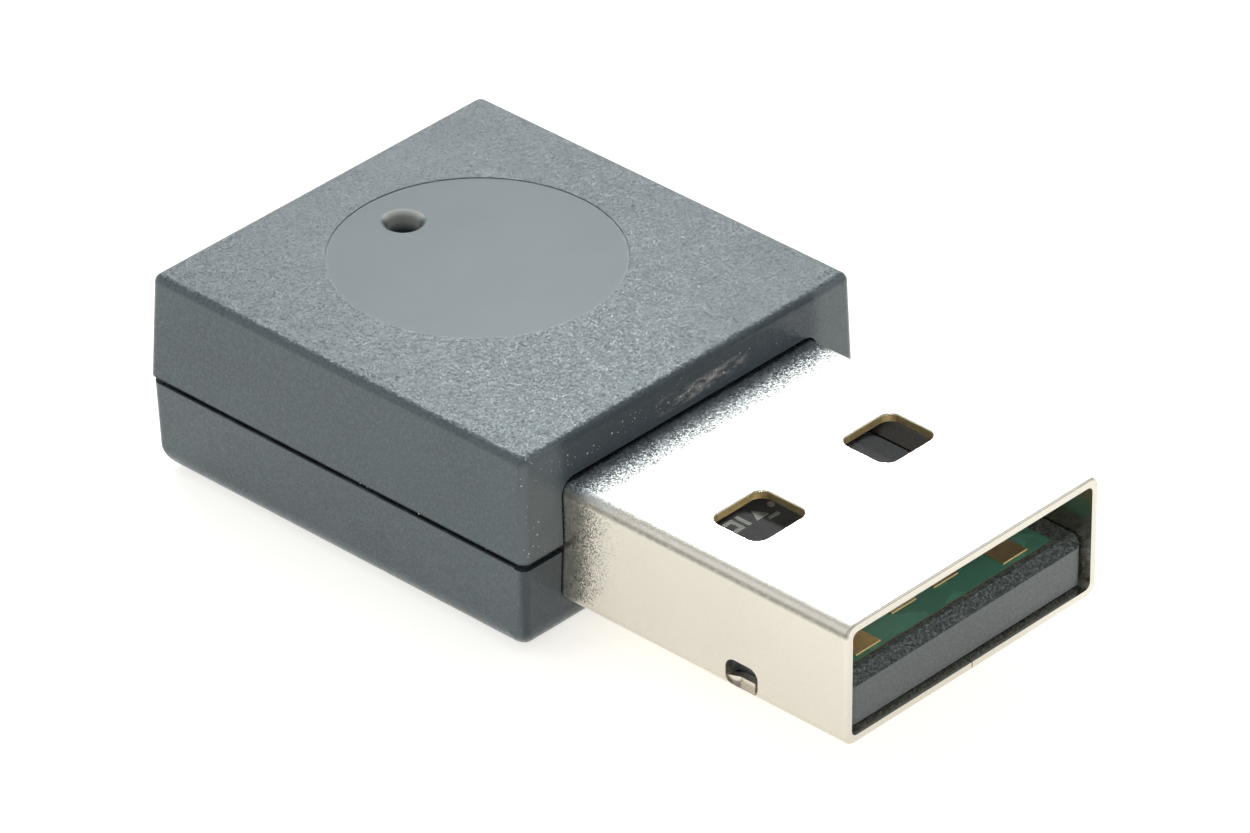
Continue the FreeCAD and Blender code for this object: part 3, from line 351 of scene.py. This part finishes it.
# how much of the eroded grain is left inside the polished recess
POLISHED_GRAIN = 0.12


def case_greys(g, fine, rough):
    """Two close greys in broad patches, with paler grains where the surface is eroded."""
    patches = g.ramp(g.noise(0.3, 3), 0.3, 0.7)
    base = g.mix(patches, colour(0.079, 0.098, 0.107), colour(0.09, 0.111, 0.12))
    pitted = g.both(g.ramp(fine, 0.45, 0.65), rough)
    return g.mix(pitted, base, colour(0.108, 0.135, 0.148))


def front_wall_painted_shade_and_light(g, base, fore):
    """Painted shade and light on the front wall: it is painted darker above the plug and below
    the seam, and painted paler at its upper ends.
    """
    aside = g.magnitude(g.x)
    above_plug = g.both(g.ramp(g.z, PLUG_TOP, PLUG_TOP + 0.1),
                        g.ramp(aside, PLUG_HALF + 0.3, PLUG_HALF - 0.3))
    below_seam = g.ramp(g.z, SEAM_Z, SEAM_Z - 0.05)
    # painted shade above the plug and below the seam
    painted_shade = g.both(fore, g.either(above_plug, below_seam))
    base = g.mix(painted_shade, base, colour(0.05, 0.065, 0.076))
    # painted light on the upper ends of the front wall
    painted_light_ends = g.both(fore, g.ramp(aside, PLUG_HALF - 0.1, PLUG_HALF + 0.5),
                        g.ramp(g.z, SEAM_Z + 0.1, SEAM_Z + 0.25))
    return g.mix(painted_light_ends, base, colour(0.121, 0.141, 0.149))


def front_wall_scuffs(g, base, fore):
    """Paler scuffs above the plug, where handling has rubbed the front wall."""
    rubbed_height = g.both(g.ramp(g.z, PLUG_TOP + 0.35, PLUG_TOP + 0.5),
                           g.ramp(g.z, PLUG_TOP + 1.05, PLUG_TOP + 0.85))
    rubbed_width = g.both(g.ramp(g.x, -1.7, -1.2), g.ramp(g.x, 2.8, 2.2))
    streak = g.noise(1.6, 4, 0.65, 0.6, place=g.stretch(0.7, 1, 1.8))
    scuff = g.both(fore, rubbed_height, rubbed_width, g.ramp(streak, 0.44, 0.62),
                   g.ramp(g.noise(9, 2), 0.3, 0.55, 0.4))
    return g.mix(g.both(scuff, 0.9), base, colour(0.46, 0.42, 0.41))


def hole_painted_light(g, base):
    """Painted light: the rear wall of the indicator hole, near its mouth, is painted pale as if
    lit.
    """
    middle = sum(HOLE_CENTRE)
    rear_side = g.ramp(g.math("ADD", g.x, g.y), middle + 0.1, middle + 0.5)
    in_hole = g.both(g.within(HOLE_CENTRE, HOLE_RIM_RADIUS, 0.06),
                     g.ramp(g.z, ROOF_TOP - 0.75, ROOF_TOP - 0.45))
    # painted light on the rear wall of the hole
    return g.mix(g.both(rear_side, in_hole), base, colour(0.5, 0.5, 0.46))


def recess_wall_painted_light(g, base, at_roof, up):
    """Painted light: the low wall round the recess, which lies in shade, is painted paler than
    the roof.
    """
    outside = g.within(RECESS_CENTRE, RECESS_RADIUS + 0.1, 0.02)
    inside = g.within(RECESS_CENTRE, RECESS_RADIUS - 0.3, 0.02)
    wall = g.both(outside, g.math("SUBTRACT", 1.0, inside), g.ramp(up, 0.95, 0.7), at_roof)
    # painted light on the shaded wall of the recess
    return g.mix(wall, base, colour(0.22, 0.25, 0.26))


def case_plastic():
    """Spark-eroded blue-grey moulding that is polished inside the round recess."""
    g = Graph("case_plastic")
    up = g.normal()[2]
    fore = g.ramp(g.y, FRONT_Y + 0.35, FRONT_Y + 0.2)
    at_roof = g.ramp(g.z, ROOF_TOP - 0.3, ROOF_TOP - 0.2)
    polished = g.both(g.within(RECESS_CENTRE, RECESS_RADIUS, 0.06), at_roof)
    rough = g.fade(polished, 1, POLISHED_GRAIN)
    fine = g.noise(11, 2, 0.6)

    base = case_greys(g, fine, rough)
    # painted shade and painted light on the front wall
    base = front_wall_painted_shade_and_light(g, base, fore)
    # both lips of the seam are darker, in broken patches
    lip = g.near(g.z, SEAM_Z, 0.17, 0.12)
    seam_darkening = g.both(lip, g.ramp(g.noise(1.3, 3), 0.3, 0.5, 0.6, 1))
    base = g.mix(seam_darkening, base, colour(0.025, 0.03, 0.034))
    base = front_wall_scuffs(g, base, fore)
    # painted light inside the indicator hole
    base = hole_painted_light(g, base)
    # painted light on the wall round the recess
    base = recess_wall_painted_light(g, base, at_roof, up)
    g.set("Base Color", base)

    g.set("Roughness", g.ramp(rough, POLISHED_GRAIN, 1, 0.5, 0.22))
    gloss = g.ramp(rough, POLISHED_GRAIN, 1, 0.57, 0.3)
    g.set("Specular IOR Level", g.both(gloss, g.fade(lip, 1, 0.2)))
    # the walls and the base are eroded less than the roof
    coarse = g.both(rough, g.ramp(up, 0.3, 0.9, 0.42, 1))
    tilted = g.facets(13, g.ramp(coarse, POLISHED_GRAIN, 1, 0.0, 0.34))
    grain = g.bump(fine, 0.022, g.ramp(coarse, POLISHED_GRAIN, 1, 0.02, 1.0), below=tilted)
    g.set("Normal", g.bump(g.noise(0.25, 2), 0.02, 0.15, below=grain))
    return g


# ---------------------------------------------------------------- the plug and the board

def window_edges(g, upright):
    """A mask on the edges that were cut through the plug's roof for its windows."""
    roof_base = PLUG_TOP - PLUG_WALL
    in_roof = g.ramp(g.z, roof_base - 0.02, roof_base + 0.01)
    inboard = g.ramp(g.magnitude(g.x), PLUG_HALF - 0.6, PLUG_HALF - 0.8)
    behind_mouth = g.ramp(g.y, MOUTH_Y + 0.55, MOUTH_Y + 0.75)
    return g.both(in_roof, upright, inboard, behind_mouth)


def nickel_shell():
    """Nickel over pebbled steel strip; the cut edges of the windows are brassy and bare."""
    g = Graph("nickel_shell")
    g.set("Metallic", 1.0)
    up = g.normal()[2]
    slope = g.magnitude(up)
    on_top = g.ramp(up, 0.4, 0.8)
    grain = g.noise(12, 2, 0.6)
    base = g.mix(g.noise(0.45, 3), colour(0.665, 0.62, 0.54), colour(0.715, 0.668, 0.588))
    base = g.mix(g.ramp(grain, 0.55, 0.75, 0, 0.25), base, colour(0.5, 0.48, 0.43))
    # painted reflection of the case: the roof is painted cooler beside the case, and a grey
    # reflection of the case's front wall is painted in the corner they make
    painted_reflection_near_case = g.both(g.ramp(g.y, FRONT_Y - 2.55, FRONT_Y - 0.55), on_top)
    base = g.mix(painted_reflection_near_case, base, colour(0.69, 0.71, 0.705))
    painted_reflection_in_corner = g.both(g.ramp(g.y, FRONT_Y - 0.95, FRONT_Y - 0.15), on_top)
    base = g.mix(painted_reflection_in_corner, base, colour(0.36, 0.4, 0.42))
    # a darker line runs low on the bend, where the strip starts to curve
    crease = g.both(g.near(g.z, PLUG_TOP - 0.32, 0.13, 0.02),
                    g.ramp(g.magnitude(g.x), PLUG_HALF - 0.15, PLUG_HALF - 0.05))
    broken = g.ramp(g.noise(5, 2), 0.25, 0.6, 0.6, 1)
    base = g.mix(g.both(crease, broken), base, colour(0.34, 0.32, 0.28))
    cut = window_edges(g, g.ramp(slope, 0.5, 0.3))
    brass = g.mix(g.noise(6, 3), colour(0.7, 0.54, 0.26), colour(0.9, 0.76, 0.45))
    g.set("Base Color", g.mix(cut, base, brass))

    # the strip is duller near the case, where it is bent over and where it is cut
    smeared = g.ramp(g.y, FRONT_Y - 2.05, FRONT_Y - 0.15, 0, 0.08)
    bend = g.both(g.ramp(slope, 0.03, 0.2), g.ramp(slope, 0.995, 0.93),
                  g.ramp(g.magnitude(g.x), PLUG_HALF - 1.0, PLUG_HALF - 0.8))
    dulled = g.either(g.either(smeared, g.fade(bend, 0, 0.16)), g.fade(cut, 0, 0.25))
    sheen = g.ramp(g.noise(3, 4, 0.6), 0.3, 0.7, 0.17, 0.26)
    g.set("Roughness", g.math("ADD", sheen, dulled))
    # the pebbling is strongest beside the case, and weaker on the sides than on the roof
    worn = g.ramp(g.y, FRONT_Y - 1.15, FRONT_Y - 5.55, 1, 0.3)
    tilt = g.both(g.fade(worn, 0, 0.27), g.ramp(up, 0.2, 0.8, 0.6, 1))
    g.set("Normal", g.bump(grain, 0.005, worn, below=g.facets(24, tilt, forward=0.26)))
    return g


def carrier_resin():
    """Black resin: smooth on the front face, and eroded on the bevel and the rails."""
    g = Graph("carrier_resin")
    front = g.ramp(g.normal()[1], -0.9, -0.98)
    grain = g.noise(11, 3, 0.7)
    base = g.mix(g.noise(1.5, 3), colour(0.062, 0.073, 0.073), colour(0.078, 0.09, 0.09))
    eroded = g.both(g.ramp(grain, 0.45, 0.7), g.fade(front, 1, 0.2))
    base = g.mix(eroded, base, colour(0.28, 0.33, 0.32))
    # painted light: what shows through the windows is painted paler, and made calmer, than what
    # shows in the mouth
    inboard = g.ramp(g.y, MOUTH_Y + 3.95, MOUTH_Y + 4.45)
    g.set("Base Color", g.mix(inboard, base, colour(0.2, 0.21, 0.22)))
    g.set("Roughness", g.fade(front, 0.3, 0.32))
    calm = g.either(front, inboard)
    tilted = g.facets(11, g.fade(calm, 0.5, 0.05))
    rough = g.bump(grain, 0.05, g.fade(calm, 1.0, 0.05), below=tilted)
    g.set("Normal", g.bump(g.cells(8), 0.04, g.fade(calm, 0.8, 0.02), below=rough))
    return g


def board_resist():
    """Green resist over copper and glass, with the pale weave showing on the cut edges."""
    g = Graph("board_resist")
    copper = g.ramp(g.noise(0.8, 2, 0.4), 0.49, 0.51)
    face = g.mix(copper, colour(0.103, 0.305, 0.222), colour(0.137, 0.39, 0.284))
    # what shows through the windows is grey, as in the photograph
    inboard = g.ramp(g.y, MOUTH_Y + 2.55, MOUTH_Y + 3.05)
    face = g.mix(inboard, face, colour(0.25, 0.255, 0.26))
    weave = g.math("SINE", g.math("MULTIPLY", g.z, 45))
    edge = g.mix(g.ramp(weave, -1, 1), colour(0.16, 0.2, 0.09), colour(0.26, 0.3, 0.15))
    flat = g.ramp(g.magnitude(g.normal()[2]), 0.3, 0.7)
    g.set("Base Color", g.mix(flat, edge, face))
    g.set("Roughness", g.fade(flat, 0.75, 0.3))
    ridges = g.bump(copper, 0.01, 0.6)
    g.set("Normal", g.bump(g.noise(5, 3), 0.006, 0.3, below=ridges))
    return g


def contact_gold():
    """Thin gold over nickel, rubbed along the direction in which a plug slides."""
    g = Graph("contact_gold")
    g.set("Metallic", 1.0)
    rub = g.noise(6, 3, 0.6, place=g.stretch(1, 0.25, 1))
    base = g.mix(g.noise(2, 3), colour(0.87, 0.68, 0.41), colour(0.96, 0.79, 0.51))
    base = g.mix(g.ramp(rub, 0.5, 0.7, 0, 0.5), base, colour(0.66, 0.55, 0.42))
    front = g.ramp(g.normal()[1], -0.5, -0.9)
    # painted highlight: the front faces of the pads are painted a brighter, warmer gold
    g.set("Base Color", g.mix(front, base, colour(1.0, 0.72, 0.33)))
    g.set("Roughness", g.ramp(rub, 0.3, 0.7, 0.34, 0.48))
    # the plated front ends are rounded over, so they lean upward
    rounded = g.node("ShaderNodeCombineXYZ", {"Z": g.fade(front, 0, 0.65)}).outputs[0]
    g.set("Normal", g.bump(g.noise(9, 2), 0.003, 0.5, below=g.leaning(rounded)))
    return g


# ---------------------------------------------------------------- the small parts

def mottled(name, base, other, roughness, metallic=0.0, per_mm=4.0, depth=0.004):
    """A small part's finish: two close colours mottled together on an uneven surface."""
    g = Graph(name)
    mottle = g.noise(per_mm, 3)
    g.set("Base Color", g.mix(g.ramp(mottle, 0.35, 0.65), colour(*base), colour(*other)))
    g.set("Roughness", g.ramp(mottle, 0.3, 0.7, roughness * 0.85, roughness * 1.15))
    g.set("Metallic", metallic)
    g.set("Normal", g.bump(g.noise(per_mm * 3, 2), depth, 0.4))
    return g


def led_lens():
    """Milky resin that lets part of the light through."""
    g = mottled("led_lens", (0.8, 0.78, 0.6), (0.9, 0.88, 0.74), 0.16)
    g.set("Transmission Weight", 0.35)
    g.set("IOR", 1.52)
    return g


GOLD_NODES = ["contact_vbus", "contact_data_minus", "contact_data_plus", "contact_ground",
              "socket_contacts"]
PACKAGE_NODES = ["microcontroller", "voltage_regulator", "target_driver", "surge_protector"]
LEAD_NODES = ["microcontroller_leads", "voltage_regulator_leads", "target_driver_leads",
              "surge_protector_leads"]
TERMINAL_NODES = ["led_terminals", "capacitor_terminals", "resistor_terminals",
                  "bead_terminals", "fuse_terminals"]


def apply_materials():
    """Give every CAD node its finish."""
    finish_on(["upper_case", "lower_case"], case_plastic())
    finish_on(["usb_shell"], nickel_shell())
    finish_on(["plug_carrier"], carrier_resin())
    finish_on(["circuit_board"], board_resist())
    finish_on(GOLD_NODES, contact_gold())
    finish_on(PACKAGE_NODES, mottled("package_resin", (0.018, 0.018, 0.02), (0.03, 0.03, 0.033),
                                     0.5, per_mm=9, depth=0.01))
    finish_on(LEAD_NODES, mottled("lead_tin", (0.6, 0.6, 0.59), (0.7, 0.7, 0.68), 0.38,
                                  metallic=1.0))
    finish_on(TERMINAL_NODES, mottled("terminal_tin", (0.62, 0.61, 0.58), (0.74, 0.73, 0.7),
                                      0.32, metallic=1.0, per_mm=7))
    finish_on(["leg_solder", "socket_solder"],
              mottled("solder", (0.66, 0.66, 0.66), (0.78, 0.78, 0.77), 0.2, metallic=1.0,
                      depth=0.01))
    finish_on(["crystal_lid"], mottled("crystal_metal", (0.62, 0.59, 0.52), (0.7, 0.68, 0.62),
                                       0.28, metallic=1.0))
    finish_on(["crystal_base"], mottled("crystal_ceramic", (0.45, 0.37, 0.26),
                                        (0.55, 0.47, 0.36), 0.7))
    finish_on(["status_led"], led_lens())
    finish_on(["chip_capacitors"], mottled("capacitor_ceramic", (0.4, 0.26, 0.15),
                                           (0.5, 0.35, 0.22), 0.5, per_mm=8))
    finish_on(["chip_resistors"], mottled("resistor_glaze", (0.016, 0.016, 0.02),
                                          (0.03, 0.03, 0.035), 0.25))
    finish_on(["ferrite_bead"], mottled("ferrite", (0.06, 0.06, 0.065), (0.095, 0.095, 0.1),
                                        0.6))
    finish_on(["resettable_fuse"], mottled("fuse_resin", (0.025, 0.14, 0.07),
                                           (0.04, 0.19, 0.1), 0.35))
    finish_on(["target_socket"], mottled("socket_resin", (0.02, 0.02, 0.022),
                                         (0.032, 0.032, 0.035), 0.5, per_mm=10, depth=0.012))
    finish_on(["board_markings"], mottled("board_ink", (0.8, 0.85, 0.76), (0.9, 0.94, 0.87),
                                          0.6, per_mm=12))


# ---------------------------------------------------------------- dust

DUST_SEED = 7
SPECKS_OVER_PLUG = 60
SPECKS_BESIDE_PLUG = 22
SPECKS_ALONG_SEAM = 12
SPECKS_AT_CORNER = 5
# the left end of the front wall above the seam, and places well clear of the case
LEFT_END = -7.75
BEFORE_CASE = FRONT_Y - 3
BESIDE_CASE = -12
ABOVE_CASE = 12
# a speck's radius runs from the smallest up by the spread, and most are small
SMALLEST_SPECK = 0.011
SPECK_SPREAD = 0.034


def new_piece(name, mesh_builder, material):
    """A mesh piece that rides on the root body and wears the material it is given."""
    shape = bmesh.new()
    mesh_builder(shape)
    mesh = bpy.data.meshes.new(name)
    shape.to_mesh(mesh)
    shape.free()
    mesh.materials.append(material)
    for polygon in mesh.polygons:
        polygon.use_smooth = True
    piece = bpy.data.objects.new(name, mesh)
    bpy.context.scene.collection.objects.link(piece)
    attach(piece, "root")


def add_speck(shape, centre, outward, radius, chance):
    """One irregular speck, flattened against the surface that it lies on."""
    made = bmesh.ops.create_icosphere(shape, subdivisions=1, radius=radius)
    spin = Matrix.Rotation(chance.uniform(0, 6), 3, "Z")
    turn = outward.to_track_quat("Z", "Y").to_matrix() @ spin
    stretched = Vector((chance.uniform(0.8, 1.7), chance.uniform(0.6, 1.1), 0.55))
    for vertex in made["verts"]:
        bumped = vertex.co * chance.uniform(0.75, 1.2)
        vertex.co = centre + turn @ (bumped * stretched)


def dust_casts(chance):
    """Rays in millimetres, each a start and a direction, that end where the specks lie."""
    over_plug = [(chance.triangular(-7.7, 6.5, -3), chance.triangular(PLUG_TOP + 0.4, 7.2, 6.4))
                 for _ in range(SPECKS_OVER_PLUG)]
    beside_plug = [(chance.uniform(LEFT_END, -6.2), chance.uniform(SEAM_Z + 0.2, 6.9))
                   for _ in range(SPECKS_BESIDE_PLUG)]
    casts = [((x, BEFORE_CASE, z), (0, 1, 0)) for x, z in over_plug + beside_plug]
    for _ in range(SPECKS_ALONG_SEAM):
        y, rise = chance.uniform(FRONT_Y + 0.3, 6), chance.uniform(0.03, 0.12)
        casts.append(((BESIDE_CASE, y, SEAM_Z + rise), (1, 0, 0)))
    for _ in range(SPECKS_AT_CORNER):
        x, inset = chance.uniform(LEFT_END, -7.3), chance.uniform(0.05, 0.3)
        casts.append(((x, FRONT_Y + inset, ABOVE_CASE), (0, 0, -1)))
    return casts


def make_dust():
    """Pale dust on the front wall of the case, beside the plug and along the seam."""
    chance = random.Random(DUST_SEED)
    casts = dust_casts(chance)
    case = nodes["upper_case"]
    lowest, highest = cad_box

    def build(shape):
        """Lay one speck where each ray ends on the outside of the case."""
        for start, aim in casts:
            hit, place, normal, _ = case.ray_cast(Vector(start) * MM, Vector(aim))
            # a ray from the front can slip through the opening round the plug
            went_in = aim[1] and place.y > (FRONT_Y + 0.6) * MM
            if hit and not went_in:
                radius = SMALLEST_SPECK + SPECK_SPREAD * chance.random() ** 3
                add_speck(shape, place, normal, radius * MM, chance)
        # nothing may stand out of the part's own box
        for vertex in shape.verts:
            vertex.co = [min(max(at, low), high)
                         for at, low, high in zip(vertex.co, lowest, highest)]

    dust = mottled("dust", (0.7, 0.68, 0.66), (0.85, 0.83, 0.8), 0.8, per_mm=20)
    new_piece("front_dust", build, dust.material)


make_camera()
make_lights()
make_surroundings()
make_floor()
apply_materials()
make_dust()
